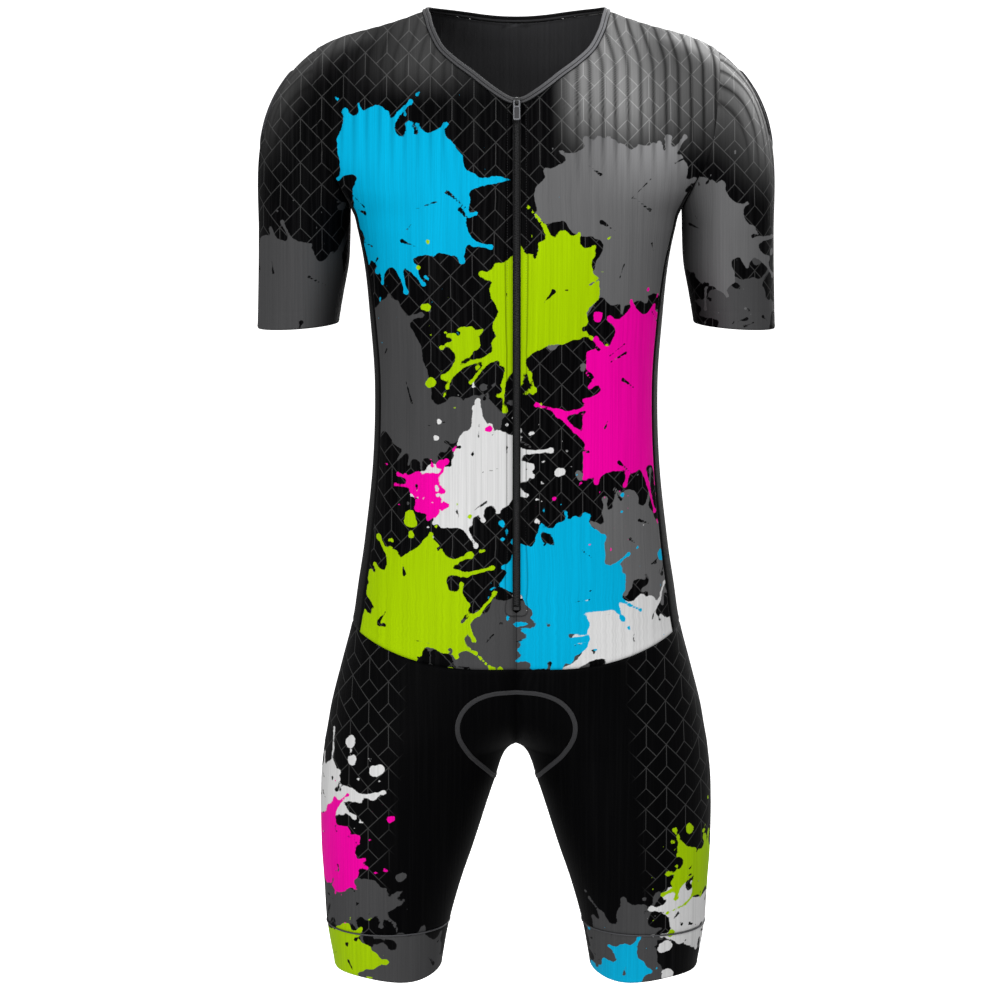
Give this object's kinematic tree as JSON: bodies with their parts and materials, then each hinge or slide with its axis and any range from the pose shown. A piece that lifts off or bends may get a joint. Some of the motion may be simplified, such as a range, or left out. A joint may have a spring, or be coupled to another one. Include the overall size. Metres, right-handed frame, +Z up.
{
  "type": "triathlon suit",
  "caption": "Short-sleeved one-piece triathlon suit with a low neck, a front zip, side panels, a seat pad seam and snug legs that end in gripper bands, hollow as worn.",
  "frame": {"origin": "middle of the line between the two neck ends of the shoulder seams, where the wearer's shoulders carry the suit", "axes": "+Z up, -Y out of the front with the zip, +X towards the wearer's left sleeve"},
  "size_m": [0.4912, 0.2281, 0.9292],
  "materials": {
    "printed_front": "fine ribbed stretch knit, printed",
    "printed_back": "fine ribbed stretch knit, printed",
    "plain_black": "smooth stretch knit",
    "printed_sleeve": "fine ribbed stretch knit, printed",
    "neck_binding": "folded elastic binding",
    "shorts": "dense stretch knit",
    "leg_gripper": "printed elastic band",
    "pad_seam": "flat overlock seam",
    "zip_tape": "woven tape",
    "zip_chain": "moulded teeth",
    "zip_metal": "black lacquer",
    "zip_pull": "grey lacquer"
  },
  "bodies": {
    "suit": {"front_left": "printed_front", "front_right": "printed_front", "back": "printed_back", "side_panel_left": "plain_black", "side_panel_right": "plain_black", "sleeve_left": "printed_sleeve", "sleeve_right": "printed_sleeve", "neck_binding": "neck_binding", "shorts_front_left": "shorts", "shorts_front_right": "shorts", "shorts_back_left": "shorts", "shorts_back_right": "shorts", "leg_gripper_left": "leg_gripper", "leg_gripper_right": "leg_gripper", "pad_seam": "pad_seam", "zip_tape": "zip_tape", "zip_chain": "zip_chain", "zip_slider": "zip_metal", "zip_bottom_stop": "zip_metal"},
    "zip_pull": {"zip_pull": "zip_pull"}
  },
  "joints": [
    {"name": "zip_pull_hinge", "type": "hinge", "parent": "suit", "child": "zip_pull", "pos_m": [0, -0.07603, -0.0872], "axis": [-1, 0, 0], "range_deg": [0, 150]}
  ]
}
